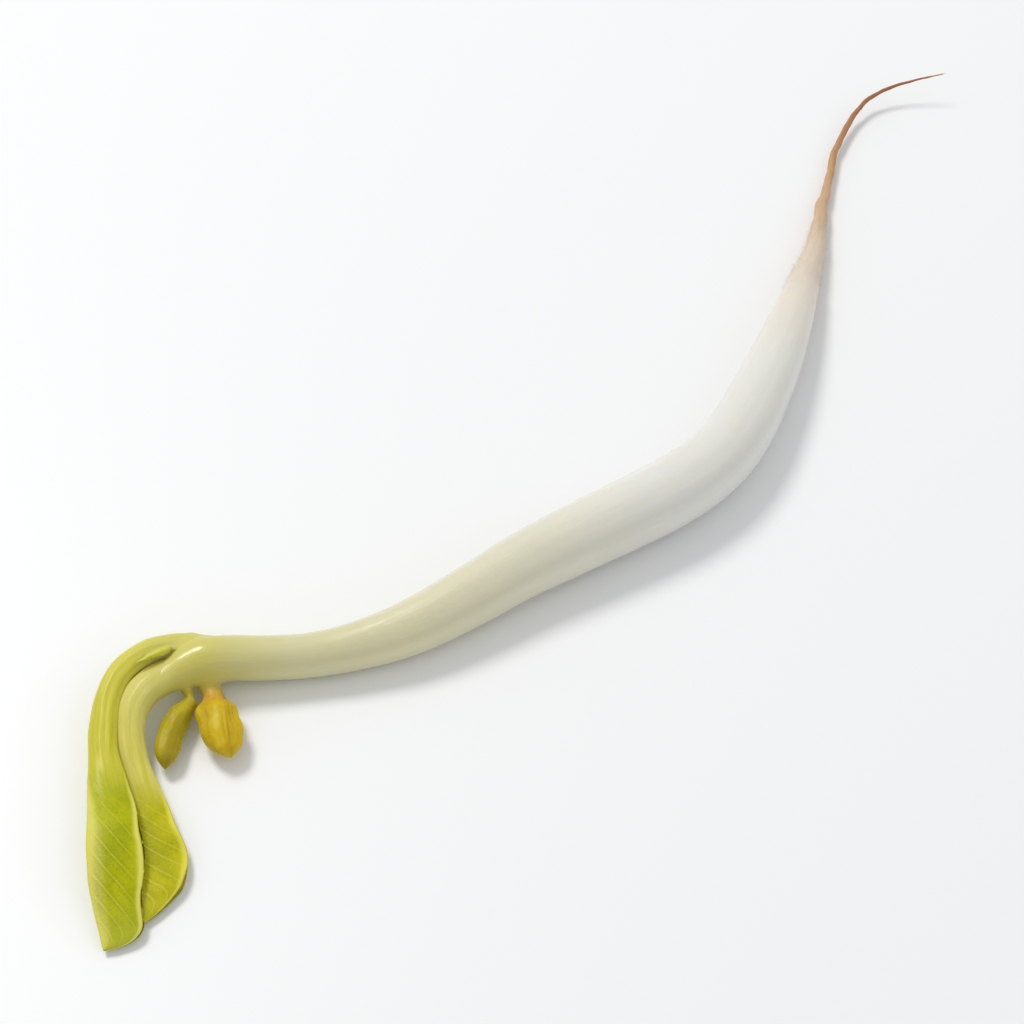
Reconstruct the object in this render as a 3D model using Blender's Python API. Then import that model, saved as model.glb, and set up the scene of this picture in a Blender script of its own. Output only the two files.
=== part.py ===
"""A mung bean sprout, as picked and lying on its side.

Every piece is a sweep: an oval section that changes its width, height and cup along a smooth path.
The paths are given in millimetres from the knot where the two leaf stalks fork off the stem, with
the stem running towards +X, and the finished plant is moved so that the origin is under its middle.
"""

import math

import bmesh
import bpy
import numpy as np
from mathutils import Vector

MM = 0.001
GAP = 0.3  # left between pieces that grow out of each other
UP = Vector((0, 0, 1))

COLLAR = 48.5  # length of the stem, from the knot to where the root begins
STEM_SIDES = 16
ROOT_SIDES = 10
LEAF_SIDES = 16
SEED_SIDES = 14

# The stem and root: x, y, lift off the surface, diameter.
AXIS = (
    (0.0, 0.0, 0.35, 2.6),
    (3.4, -3.3, 0.1, 2.45),
    (8.8, -6.5, 0.0, 3.0),
    (16.4, -8.4, 0.0, 3.7),
    (23.9, -10.5, 0.0, 4.05),
    (29.0, -11.2, 0.0, 4.0),
    (35.1, -9.7, 0.0, 3.6),
    (41.9, -6.8, 0.0, 2.65),
    (47.8, -3.8, 0.0, 1.4),
    (53.3, -0.6, 0.15, 0.65),
    (58.6, 2.0, 0.35, 0.5),
    (62.2, 2.2, 0.8, 0.44),
    (65.8, -0.2, 1.7, 0.36),
)

# The leaves, the two seed halves and the bud: x, y, z of the section's middle, width, height, cup.
# A cup above zero lifts the section's edges, and one below zero lets them droop.
OUTER_LEAF = (
    (0.3, 1.0, 1.75, 1.2, 1.2, 0.0),
    (-1.2, 2.1, 1.9, 1.35, 1.25, 0.0),
    (-2.8, 2.6, 1.9, 1.4, 1.2, 0.0),
    (-4.8, 2.2, 1.8, 1.4, 1.15, 0.0),
    (-6.5, 1.0, 1.7, 1.4, 1.1, 0.0),
    (-7.9, -0.5, 1.6, 1.5, 1.0, 0.0),
    (-9.4, -2.5, 1.7, 2.0, 0.8, -0.1),
    (-11.1, -4.8, 1.8, 2.6, 0.7, -0.3),
    (-12.6, -6.7, 1.5, 2.7, 0.6, -0.4),
    (-13.6, -7.8, 1.0, 2.2, 0.5, -0.3),
    (-14.5, -8.5, 0.6, 1.3, 0.45, -0.1),
    (-15.2, -8.9, 0.3, 0.5, 0.4, 0.0),
)
INNER_LEAF = (
    (-0.85, -0.2, 1.5, 1.45, 1.45, 0.0),
    (-2.0, 0.45, 1.5, 1.7, 1.5, 0.0),
    (-3.4, 0.7, 1.5, 1.75, 1.5, 0.0),
    (-5.0, 0.2, 1.35, 1.7, 1.4, 0.0),
    (-6.2, -0.9, 1.1, 1.6, 1.3, 0.0),
    (-7.1, -2.4, 0.85, 1.65, 1.1, 0.0),
    (-8.2, -4.1, 0.65, 2.1, 0.9, 0.0),
    (-9.4, -6.2, 0.5, 2.8, 0.75, 0.0),
    (-10.3, -8.0, 0.45, 3.0, 0.7, 0.0),
    (-10.9, -9.2, 0.4, 2.4, 0.6, 0.0),
    (-11.4, -10.2, 0.35, 0.9, 0.5, 0.0),
)
LARGE_COTYLEDON = (
    (-1.15, -1.75, 1.3, 0.8, 0.8, 0.0),
    (-1.5, -2.2, 1.1, 1.7, 1.4, 0.1),
    (-2.1, -3.2, 0.95, 2.2, 1.6, 0.25),
    (-2.8, -4.5, 0.9, 2.0, 1.5, 0.25),
    (-3.2, -5.4, 0.8, 0.8, 0.8, 0.1),
)
SMALL_COTYLEDON = (
    (-2.15, -1.05, 1.2, 0.6, 0.6, 0.0),
    (-2.9, -1.25, 1.0, 1.3, 1.0, 0.1),
    (-4.2, -1.85, 0.8, 1.6, 1.1, 0.2),
    (-5.4, -2.7, 0.7, 1.3, 1.0, 0.2),
    (-6.0, -3.3, 0.65, 0.6, 0.6, 0.0),
)
TERMINAL_BUD = (
    (-1.2, 1.25, 2.5, 0.3, 0.3, 0.0),
    (-2.1, 1.5, 2.65, 0.5, 0.5, 0.0),
    (-3.3, 1.75, 2.6, 0.2, 0.2, 0.0),
)


def clear_scene():
    for old in list(bpy.data.objects):
        bpy.data.objects.remove(old, do_unlink=True)


def spline(knots, values, places):
    """Reads a natural cubic curve through the values at its knots."""
    gaps = np.diff(knots)
    slopes = np.diff(values, axis=0) / gaps[:, None]
    matrix = np.eye(len(knots))
    jumps = np.zeros_like(values)
    for i in range(1, len(knots) - 1):
        matrix[i, i - 1 : i + 2] = gaps[i - 1], 2 * (gaps[i - 1] + gaps[i]), gaps[i]
        jumps[i] = 6 * (slopes[i] - slopes[i - 1])
    bends = np.linalg.solve(matrix, jumps)
    i = np.clip(np.searchsorted(knots, places, side="right") - 1, 0, len(gaps) - 1)
    gap = gaps[i][:, None]
    after = (places - knots[i])[:, None]
    before = gap - after
    curve = (bends[i] * before**3 + bends[i + 1] * after**3) / (6 * gap)
    start = (values[i] / gap - bends[i] * gap / 6) * before
    end = (values[i + 1] / gap - bends[i + 1] * gap / 6) * after
    return curve + start + end


def smooth_path(stations, spacing):
    """Even steps along the curve through the stations, with every column carried along."""
    stations = np.array(stations, float)
    chords = np.linalg.norm(np.diff(stations[:, :3], axis=0), axis=1)
    knots = np.concatenate([[0], np.cumsum(chords)])
    fine = np.linspace(0, knots[-1], 40 * len(stations))
    points = spline(knots, stations, fine)
    steps = np.linalg.norm(np.diff(points[:, :3], axis=0), axis=1)
    lengths = np.concatenate([[0], np.cumsum(steps)])
    even = np.linspace(0, lengths[-1], round(lengths[-1] / spacing) + 1)
    columns = [np.interp(even, lengths, column) for column in points.T]
    return np.column_stack([even, *columns])


def plant_axis(spacing):
    """Distance, place, width, height and cup along the stem and root, resting on z = 0."""
    distance, x, y, lift, diameter = smooth_path(AXIS, spacing).T
    z = lift + diameter / 2 * math.cos(math.pi / STEM_SIDES)
    return np.column_stack([distance, x, y, z, diameter, diameter, 0 * x])


def stretch(path, start, end):
    """The part of a path between two distances along it."""
    inside = path[(path[:, 0] > start) & (path[:, 0] < end)]
    ends = [[np.interp(s, path[:, 0], column) for column in path.T] for s in (start, end)]
    return np.vstack([ends[0], inside, ends[1]])


def section(place, along, width, height, cup, sides):
    """One closed oval ring across the path, its flats facing up and down."""
    side = along.cross(UP).normalized()
    rise = side.cross(along)
    ring = []
    for i in range(sides):
        turn = 2 * math.pi * (i + 0.5) / sides
        across = math.cos(turn)
        lift = height / 2 * math.sin(turn) + cup * across**2
        ring.append(place + side * (width / 2 * across) + rise * lift)
    return ring


def sweep(name, path, sides, material):
    """A closed solid through the sections of a path, with flat ends."""
    places = [Vector(row[1:4]) for row in path]
    shape = bmesh.new()
    rings = []
    for i, row in enumerate(path):
        before = places[max(i - 1, 0)]
        after = places[min(i + 1, len(places) - 1)]
        ring = section(places[i], (after - before).normalized(), *row[4:7], sides)
        rings.append([shape.verts.new(point * MM) for point in ring])
    for ring, following in zip(rings, rings[1:]):
        for i in range(sides):
            j = (i + 1) % sides
            shape.faces.new((ring[i], ring[j], following[j], following[i]))
    shape.faces.new(rings[0][::-1])
    shape.faces.new(rings[-1])
    bmesh.ops.recalc_face_normals(shape, faces=shape.faces)
    mesh = bpy.data.meshes.new(name)
    shape.to_mesh(mesh)
    shape.free()
    mesh.materials.append(material)
    mesh.shade_smooth()
    mesh.set_sharp_from_angle(angle=math.radians(50))
    piece = bpy.data.objects.new(name, mesh)
    bpy.context.collection.objects.link(piece)
    return piece


def finish(name, colour, roughness):
    material = bpy.data.materials.new(name)
    material.use_nodes = True
    shader = material.node_tree.nodes["Principled BSDF"]
    shader.inputs["Base Color"].default_value = (*colour, 1)
    shader.inputs["Roughness"].default_value = roughness
    shader.inputs["Metallic"].default_value = 0
    return material


def make_stem():
    path = stretch(plant_axis(1.4), 0, COLLAR)
    return sweep("stem", path, STEM_SIDES, finish("stem_white", (0.86, 0.84, 0.76), 0.3))


def make_root():
    axis = plant_axis(0.9)
    path = stretch(axis, COLLAR + GAP, axis[-1, 0])
    return sweep("root", path, ROOT_SIDES, finish("root_brown", (0.55, 0.38, 0.22), 0.5))


def make_leaf(name, stations, colour):
    path = smooth_path(stations, 0.7)
    return sweep(name, path, LEAF_SIDES, finish(name + "_green", colour, 0.4))


def make_cotyledon(name, stations, colour):
    path = smooth_path(stations, 0.4)
    return sweep(name, path, SEED_SIDES, finish(name + "_yellow", colour, 0.45))


def make_bud():
    path = smooth_path(TERMINAL_BUD, 0.2)
    return sweep("terminal_bud", path, 8, finish("bud_green", (0.5, 0.5, 0.1), 0.45))


def rest_on_origin(pieces):
    """Hangs the pieces on an empty, placed so that the world origin is under their middle."""
    points = np.array([v.co for piece in pieces for v in piece.data.vertices])
    low = points.min(axis=0)
    high = points.max(axis=0)
    plant = bpy.data.objects.new("sprout", None)
    bpy.context.collection.objects.link(plant)
    plant.location = (-(low[0] + high[0]) / 2, -(low[1] + high[1]) / 2, -low[2])
    for piece in pieces:
        piece.parent = plant


def main():
    clear_scene()
    pieces = [
        make_stem(),
        make_root(),
        make_leaf("outer_leaf", OUTER_LEAF, (0.42, 0.44, 0.02)),
        make_leaf("inner_leaf", INNER_LEAF, (0.6, 0.56, 0.14)),
        make_cotyledon("large_cotyledon", LARGE_COTYLEDON, (0.62, 0.47, 0.06)),
        make_cotyledon("small_cotyledon", SMALL_COTYLEDON, (0.45, 0.38, 0.05)),
        make_bud(),
    ]
    rest_on_origin(pieces)


main()
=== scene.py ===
import math

import bmesh
import bpy
import numpy as np
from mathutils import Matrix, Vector, noise
from mathutils.bvhtree import BVHTree
from mathutils.kdtree import KDTree


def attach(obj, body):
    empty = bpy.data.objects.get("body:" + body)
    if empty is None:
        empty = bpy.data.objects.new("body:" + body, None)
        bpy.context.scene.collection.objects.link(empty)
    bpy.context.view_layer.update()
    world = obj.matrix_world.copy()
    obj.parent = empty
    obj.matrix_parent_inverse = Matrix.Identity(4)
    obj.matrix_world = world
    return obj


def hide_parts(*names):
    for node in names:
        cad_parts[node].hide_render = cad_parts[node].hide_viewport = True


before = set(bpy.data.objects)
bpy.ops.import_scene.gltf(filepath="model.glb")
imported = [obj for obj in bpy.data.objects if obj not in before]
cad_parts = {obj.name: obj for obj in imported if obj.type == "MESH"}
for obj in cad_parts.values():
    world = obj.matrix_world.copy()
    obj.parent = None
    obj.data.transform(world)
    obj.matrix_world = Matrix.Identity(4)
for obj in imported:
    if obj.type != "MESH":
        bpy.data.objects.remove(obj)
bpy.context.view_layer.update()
mm = 0.001
noise.seed_set(5)  # so that the leaves' lumps are the same in every run


class Wire:
    # an output socket that can be added, multiplied and so on
    def __init__(self, maker, socket):
        self.maker = maker
        self.socket = socket

    def __add__(self, other):
        return self.maker.maths("ADD", self, other)

    def __radd__(self, other):
        return self.maker.maths("ADD", other, self)

    def __sub__(self, other):
        return self.maker.maths("SUBTRACT", self, other)

    def __rsub__(self, other):
        return self.maker.maths("SUBTRACT", other, self)

    def __mul__(self, other):
        return self.maker.maths("MULTIPLY", self, other)

    def __rmul__(self, other):
        return self.maker.maths("MULTIPLY", other, self)

    def __truediv__(self, other):
        return self.maker.maths("DIVIDE", self, other)


def findSocket(sockets, key):
    # by its identifier, or else by its name or its place in the list
    for socket in sockets:
        if socket.identifier == key:
            return socket
    return sockets[key]


def fillRamp(elements, stops):
    while len(elements) < len(stops):
        elements.new(1)
    for element, (place, colour) in zip(elements, stops):
        element.position = place
        element.color = tint(colour)


class Maker:
    # adds nodes to one tree, of a material or of a modifier
    def __init__(self, tree):
        self.tree = tree

    def plug(self, node, key, value):
        socket = findSocket(node.inputs, key)
        if isinstance(value, Wire):
            self.tree.links.new(value.socket, socket)
        elif socket.type == "RGBA" and len(value) == 3:
            socket.default_value = tint(value)
        else:
            socket.default_value = value

    def plugAll(self, node, sockets):
        for key, value in sockets.items():
            self.plug(node, key, value)

    def node(self, kind, settings=None, sockets=None, out=0):
        # the settings come first, because some of them change which sockets there are
        made = self.tree.nodes.new(kind)
        for name, value in (settings or {}).items():
            if name == "stops":
                fillRamp(made.color_ramp.elements, value)
            else:
                setattr(made, name, value)
        self.plugAll(made, sockets or {})
        return Wire(self, findSocket(made.outputs, out))

    def maths(self, operation, *values):
        return self.node("ShaderNodeMath", {"operation": operation}, dict(enumerate(values)))

    def ease(self, value, low, high):
        # 0 below low, 1 above high, eased between
        return self.node("ShaderNodeMapRange", {"interpolation_type": "SMOOTHSTEP"}, {
            "Value": value, "From Min": low, "From Max": high})

    def vector(self, x, y, z):
        return self.node("ShaderNodeCombineXYZ", None, {"X": x, "Y": y, "Z": z})

    def parts(self, vector):
        x = self.node("ShaderNodeSeparateXYZ", None, {0: vector})
        return [x] + [Wire(self, socket) for socket in x.socket.node.outputs[1:]]

    def grain(self, vector, detail=2.0, roughness=0.5, seed=0.0):
        # soft noise from 0 to 1, one lump for each unit of the vector
        return self.node("ShaderNodeTexNoise", {"noise_dimensions": "4D"}, {
            "Vector": vector, "W": seed, "Scale": 1.0, "Detail": detail, "Roughness": roughness})

    def lumps(self, spot, long, wide, detail, roughness, seed):
        # the same noise with so many lumps to the metre, along the first axis and across it
        vector = self.vector(spot[0] * long, spot[1] * wide, spot[2] * wide)
        return self.grain(vector, detail, roughness, seed)

    def keep(self, geometry, name, value, kind="FLOAT"):
        # stores a number or a vector under this name at each place
        return self.node("GeometryNodeStoreNamedAttribute", {"data_type": kind}, {
            "Geometry": geometry, "Name": name, "Value": value})

    def kept(self, name):
        # the three numbers that a piece keeps at each place under this name
        return self.parts(self.node("ShaderNodeAttribute", {"attribute_name": name}, out="Vector"))

    def place(self):
        return self.parts(self.node("ShaderNodeTexCoord", out="Object"))

    def ramp(self, value, look, stops):
        # from each stop to the next, one of the look's colours runs into another
        colours = [(place, look[name]) for place, name in stops.items()]
        return self.node("ShaderNodeValToRGB", {"stops": colours}, {"Fac": value})

    def mix(self, factor, first, second, blend="MIX"):
        return self.node("ShaderNodeMix", {"data_type": "RGBA", "blend_type": blend}, {
            "Factor_Float": factor, "A_Color": first, "B_Color": second}, "Result_Color")

    def bump(self, height, distance, under=None):
        sockets = {"Height": height, "Distance": distance}
        if under is not None:
            sockets["Normal"] = under
        return self.node("ShaderNodeBump", None, sockets)


def tint(colour):
    # a colour as it looks on screen, 0 to 255, as the shader wants it
    shares = [value / 255 for value in colour]
    linear = (s / 12.92 if s < 0.04045 else ((s + 0.055) / 1.055) ** 2.4 for s in shares)
    return (*linear, 1)


def flatEnds(shape):
    # the flat ends of a swept solid: its only flat patches that are nearly round
    nearlyRound = 0.65  # least area as a share of the width squared, 0.79 for a circle
    joined = shape.copy()
    bmesh.ops.dissolve_limit(
        joined, angle_limit=math.radians(2), verts=joined.verts, edges=joined.edges
    )
    ends = []
    for face in joined.faces:
        corners = [v.co for v in face.verts]
        across = max((a - b).length for a in corners for b in corners)
        if face.calc_area() > nearlyRound * across**2:
            ends.append((face.calc_center_median(), face.normal.copy(), across))
    joined.free()
    return ends


def walkRings(shape, startsRight):
    # the corners of a swept solid in steps of one edge, from one flat end to the other
    ends = sorted(flatEnds(shape), key=lambda end: end[0].x)
    middle, normal, across = ends[-1] if startsRight else ends[0]
    ring = {
        v for v in shape.verts
        if abs((v.co - middle).dot(normal)) < 0.02 * mm and (v.co - middle).length < 0.55 * across
    }
    seen = set(ring)
    rings = []
    while ring:
        rings.append(np.array([v.co for v in ring]))
        ring = {edge.other_vert(v) for v in ring for edge in v.link_edges} - seen
        seen |= ring
    return rings


def lengthsAlong(points):
    # how far along a line each of its points is
    steps = np.linalg.norm(np.diff(points, axis=0), axis=1)
    return np.concatenate([[0], np.cumsum(steps)])


def directions(middles):
    along = np.gradient(middles, axis=0)
    return along / np.linalg.norm(along, axis=1)[:, None]


def sortRings(rings):
    # a few corners may be a step ahead, so all are sorted again by how far along they are
    middles = np.array([ring.mean(axis=0) for ring in rings])
    starts = lengthsAlong(middles)
    along = directions(middles)
    corners = np.vstack(rings)
    nearest = np.linalg.norm(corners[:, None] - middles, axis=2).argmin(axis=1)
    reach = starts[nearest] + np.einsum("ij,ij->i", corners - middles[nearest], along[nearest])
    order = np.argsort(reach)
    gaps = np.nonzero(np.diff(reach[order]) > 0.3 * np.median(np.diff(starts)))[0] + 1
    return np.split(corners[order], gaps)


def readSweep(node, startsRight):
    # each ring of a CAD sweep, from one end to the other: middle, side, rise, width, height
    shape = bmesh.new()
    shape.from_mesh(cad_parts[node].data)
    bmesh.ops.remove_doubles(shape, verts=shape.verts, dist=1e-6)
    rings = sortRings(walkRings(shape, startsRight))
    shape.free()
    middles = np.array([ring.mean(axis=0) for ring in rings])
    along = directions(middles)
    side = np.cross(along, (0, 0, 1))
    side /= np.linalg.norm(side, axis=1)[:, None]
    rise = np.cross(side, along)
    rows = []
    for i, ring in enumerate(rings):
        corners = ring - middles[i]
        full = 1 / math.cos(math.pi / len(corners))
        width = np.ptp(corners @ side[i]) * full
        height = np.ptp(corners @ rise[i]) * full
        rows.append([*middles[i], *side[i], *rise[i], width, height])
    return np.array(rows)


def between(rows, count):
    # even steps along the rows, curving smoothly through every one
    padded = np.vstack([2 * rows[0] - rows[1], rows, 2 * rows[-1] - rows[-2]])
    places = np.linspace(0, len(rows) - 1, count)
    i = np.minimum(places.astype(int), len(rows) - 2)
    t = (places - i)[:, None]
    a, b, c, d = (padded[i + k] for k in range(4))
    bend = 2 * a - 5 * b + 4 * c - d + t * (3 * (b - c) + d - a)
    return b + t * (c - a + t * bend) / 2


def sharePast(value, start):
    # 0 as far as start, then evenly up to 1
    return np.clip((value - start) / (1 - start), 0, 1)


def eased(value, low, high):
    share = np.clip((value - low) / (high - low), 0, 1)
    return share * share * (3 - 2 * share)


skippedRings = 2  # the inner leaf's first rings, which lie beside the neck's line
neckEasing = 1.4 * mm  # how far the bend at the fork is spread each way


def neckPlace(reach):
    # a place on the axis of the neck: past the fork it carries on along the inner leaf's stalk
    before = readSweep("stem", False)[:8, :3][::-1]
    after = readSweep("inner_leaf", True)[skippedRings:12, :3]
    line = np.vstack([before, after])
    lengths = lengthsAlong(line)
    lengths -= lengths[len(before) - 1]
    nearby = reach + np.linspace(-1, 1, 15) * neckEasing
    return np.array([np.interp(nearby, lengths, column).mean() for column in line.T])


def roundEnd(points, radii, reach):
    # adds a rounded end after the last point
    least = 0.08  # the girth at the very end, as a share of the girth before it
    direction = points[-1] - points[-2]
    direction /= np.linalg.norm(direction)
    last, girth = points[-1], radii[-1]
    for turn in np.radians((20, 40, 58, 74, 86)):
        points = np.vstack([points, last + direction * reach * math.sin(turn)])
        radii = np.append(radii, girth * max(math.cos(turn), least))
    return points, radii


def newObject(name, data):
    made = bpy.data.objects.new(name, data)
    bpy.context.scene.collection.objects.link(made)
    return made


def settle(holder, name):
    # the plain mesh that an object's modifiers make, as a new object
    graph = bpy.context.evaluated_depsgraph_get()
    mesh = bpy.data.meshes.new_from_object(
        holder.evaluated_get(graph), preserve_all_data_layers=True, depsgraph=graph
    )
    bpy.data.objects.remove(holder)
    mesh.name = name
    return newObject(name, mesh)


def runTree(holder, name, tree, values):
    modifier = holder.modifiers.new("growth", "NODES")
    modifier.node_group = tree
    for item in tree.interface.items_tree:
        if item.in_out == "INPUT" and item.name in values:
            modifier[item.identifier] = values[item.name]
    return settle(holder, name)


def newTree(name, inputs):
    # an empty geometry tree, its maker and a wire for each of its inputs
    tree = bpy.data.node_groups.new(name, "GeometryNodeTree")
    for kind, titles in {"Geometry": ["Geometry"], **inputs}.items():
        for title in titles:
            tree.interface.new_socket(title, in_out="INPUT", socket_type="NodeSocket" + kind)
    tree.interface.new_socket("Geometry", in_out="OUTPUT", socket_type="NodeSocketGeometry")
    maker = Maker(tree)
    sockets = tree.nodes.new("NodeGroupInput").outputs
    return tree, maker, {socket.name: Wire(maker, socket) for socket in sockets}


def endTree(maker, geometry, skin):
    smooth = maker.node("GeometryNodeSetShadeSmooth", None, {"Geometry": geometry})
    whole = maker.node("GeometryNodeRealizeInstances", None, {"Geometry": smooth})
    coated = maker.node("GeometryNodeSetMaterial", None, {"Geometry": whole, "Material": skin})
    maker.plug(maker.tree.nodes.new("NodeGroupOutput"), "Geometry", coated)


def tubeTree():
    # a living tube along a path: its section swells, and fine ridges run along it
    tree, m, given = newTree("growing tube", {
        "Int": ["Sides"],
        "Float": [
            "Step", "Wander", "Wander size", "Swell", "Swell size", "Ridge", "Ridge width",
            "Ridge length", "Crease", "Crease width", "Crease length", "Seed",
        ],
        "Material": ["Skin"],
    })
    seed = given["Seed"]
    path = m.node("GeometryNodeCurveSplineType", {"spline_type": "CATMULL_ROM"}, {
        "Curve": given["Geometry"]})
    path = m.node("GeometryNodeSetSplineResolution", None, {"Geometry": path, "Resolution": 16})
    path = m.node("GeometryNodeResampleCurve", {"mode": "LENGTH"}, {
        "Curve": path, "Length": given["Step"]})
    factor = m.node("GeometryNodeSplineParameter")
    along = m.node("GeometryNodeSplineParameter", out="Length")
    place = m.vector(along / given["Wander size"], 0.0, 0.0)
    sway = given["Wander"] * m.ease(factor, 0.0, 0.2) * (1 - m.ease(factor, 0.8, 1.0))
    x, y = ((m.grain(place, seed=seed + more) - 0.5) * sway for more in (11.0, 23.0))
    path = m.node("GeometryNodeSetPosition", None, {
        "Geometry": path, "Offset": m.vector(x, y, 0.0)})
    path = m.node("GeometryNodeSetCurveNormal", {"mode": "Z_UP"}, {"Curve": path})
    girth = m.node("GeometryNodeInputRadius")
    path = m.keep(m.keep(path, "along", along), "girth", girth)
    circle = m.node("GeometryNodeCurvePrimitiveCircle", None, {"Resolution": given["Sides"]})
    ring = m.keep(circle, "around", factor)
    tube = m.node("GeometryNodeCurveToMesh", None, {
        "Curve": path, "Profile Curve": ring, "Scale": girth, "Fill Caps": True})
    along, girth, around = (
        m.node("GeometryNodeInputNamedAttribute", {"data_type": "FLOAT"}, {"Name": name})
        for name in ("along", "girth", "around")
    )
    turn = around * (2 * math.pi)
    across = girth * m.maths("COSINE", turn)
    lift = girth * m.maths("SINE", turn)
    tube = m.keep(tube, "straight", m.vector(along, across, lift), "FLOAT_VECTOR")
    lump = given["Swell size"]
    swell = m.grain(m.vector(along / lump, across / lump, lift / lump), seed=seed)
    wide, long = given["Ridge width"], given["Ridge length"]
    ridge = m.grain(m.vector(along / long, across / wide, lift / wide), 1.0, 0.5, seed + 3.0)
    wide, long = given["Crease width"], given["Crease length"]
    crease = m.grain(m.vector(along / wide, across / long, lift / long), 2.0, 0.6, seed + 7.0)
    depth = swell * given["Swell"] + ridge * given["Ridge"] + crease * given["Crease"]
    inward = m.node("ShaderNodeVectorMath", {"operation": "SCALE"}, {
        0: m.node("GeometryNodeInputNormal"), "Scale": 0 - depth})
    tube = m.node("GeometryNodeSetPosition", None, {"Geometry": tube, "Offset": inward})
    for name in ("along", "girth", "around"):
        tube = m.node("GeometryNodeRemoveAttribute", None, {"Geometry": tube, "Name": name})
    endTree(m, tube, given["Skin"])
    return tree


def growTube(name, points, radii, facts, skin):
    # facts may hold more than the tree has inputs for, which the caller uses itself
    curve = bpy.data.curves.new(name, "CURVE")
    curve.dimensions = "3D"
    spline = curve.splines.new("POLY")
    spline.points.add(len(points) - 1)
    for point, place, radius in zip(spline.points, points, radii):
        point.co = (*place, 1)
        point.radius = radius
    holder = newObject(name + "_path", curve)
    return runTree(holder, name, tubes, {**facts, "Skin": skin})


def finish(name, values):
    # a new material: its maker and its shader, with the values that don't vary over it
    material = bpy.data.materials.new(name)
    material.use_nodes = True
    shader = material.node_tree.nodes["Principled BSDF"]
    maker = Maker(material.node_tree)
    maker.plugAll(shader, values)
    return material, maker, shader


def firmUp(m, shader, share):
    # the same skin with no light wandering under it where share is 1, as at joints and thin rims
    firm = m.tree.nodes.new("ShaderNodeBsdfPrincipled")
    for own, copy in zip(shader.inputs, firm.inputs):
        if own.is_linked:
            m.tree.links.new(own.links[0].from_socket, copy)
        else:
            copy.default_value = own.default_value
    firm.inputs["Subsurface Weight"].default_value = 0
    both = m.node("ShaderNodeMixShader", None, {
        0: share, 1: Wire(m, shader.outputs[0]), 2: Wire(m, firm.outputs[0])})
    m.plug(m.tree.nodes["Material Output"], "Surface", both)


def graftShare(m):
    # 1 along the crease between two pieces that grew as one, 0 away from it
    return m.ease(m.node("ShaderNodeAttribute", {"attribute_name": "graft"}, out="Fac"), 0.0, 0.7)


jointGloss = {"Roughness": 0.34, "Coat Weight": 0.08}


def shareGloss(m, shader, graft, own):
    # at a joint both pieces have the same gloss
    for socket, value in jointGloss.items():
        m.plug(shader, socket, own[socket] * (1 - graft) + graft * value)


knotColour = (211, 203, 108)

stemLook = {
    "length": 53.8 * mm, "knot": knotColour,
    "crest": (213, 207, 140), "neck": (218, 213, 170), "shoulder": (224, 220, 196),
    "flesh": (229, 228, 221), "end": (229, 222, 210), "collar": (226, 214, 197),
    "streaks": 0.10,
}


def stemFlesh():
    look = stemLook
    material, m, shader = finish("stem flesh", {
        "IOR": 1.38, "Subsurface Weight": 1.0, "Subsurface Radius": (1.0, 0.82, 0.55),
        "Subsurface Scale": 0.55 * mm, "Coat Roughness": 0.1, "Specular IOR Level": 0.5,
    })
    straight = m.kept("straight")
    drift = m.lumps(straight, 200, 400, 2.0, 0.5, 1.0)
    share = straight[0] / look["length"] + (drift - 0.5) * 0.05
    bands = m.ramp(share, look, {
        0.0: "knot", 0.1: "knot", 0.135: "crest", 0.19: "neck", 0.42: "shoulder",
        0.6: "flesh", 0.84: "flesh", 0.94: "end", 1.0: "collar"})
    streaks = m.lumps(straight, 90, 2600, 3.0, 0.6, 2.0)
    clouds = m.lumps(straight, 260, 500, 3.0, 0.6, 3.0)
    shade = (streaks - 0.5) * look["streaks"] + (clouds - 0.5) * 0.05 + 0.5
    colour = m.mix(1.0, bands, m.node("ShaderNodeCombineColor", None, {
        "Red": shade + 0.5, "Green": shade + 0.5, "Blue": shade * 1.2 + 0.4}), "MULTIPLY")
    m.plug(shader, "Base Color", colour)
    graft = graftShare(m)
    shareGloss(m, shader, graft, {
        "Roughness": 0.24 + clouds * 0.16, "Coat Weight": 0.25 + streaks * 0.3})
    striae = m.lumps(straight, 500, 7000, 2.0, 0.6, 4.0)
    cells = m.lumps(straight, 5000, 9000, 2.0, 0.6, 5.0)
    relief = m.bump(striae, 0.02 * mm)
    m.plug(shader, "Normal", m.bump(cells, 0.006 * mm, under=relief))
    firmUp(m, shader, graft)
    return material


rootLook = {
    "length": 23.0 * mm,
    "start": (226, 214, 197), "cone": (220, 204, 182), "neck": (210, 184, 150),
    "middle": (194, 150, 106), "tip": (146, 100, 62),
}


def rootSkin():
    look = rootLook
    material, m, shader = finish("root skin", {
        "IOR": 1.4, "Subsurface Weight": 0.7, "Subsurface Radius": (1.0, 0.7, 0.4),
        "Subsurface Scale": 0.5 * mm, "Coat Roughness": 0.25,
    })
    straight = m.kept("straight")
    drift = m.lumps(straight, 500, 900, 3.0, 0.6, 1.0)
    share = straight[0] / look["length"] + (drift - 0.5) * 0.12
    bands = m.ramp(share, look, {
        0.0: "start", 0.1: "start", 0.27: "cone", 0.4: "neck", 0.66: "middle", 1.0: "tip"})
    streaks = m.lumps(straight, 300, 6000, 3.0, 0.6, 2.0)
    colour = m.mix(m.ease(streaks, 0.4, 0.8) * m.ease(share, 0.05, 0.6) * 0.5, bands, look["tip"])
    wrinkles = m.lumps(straight, 1200, 9000, 3.0, 0.6, 4.0)
    m.plugAll(shader, {
        "Base Color": colour, "Roughness": 0.36 + drift * 0.2,
        "Normal": m.bump(wrinkles, 0.04 * mm)})
    firmUp(m, shader, graftShare(m))
    return material


print("materials")
tubes = tubeTree()

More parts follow.
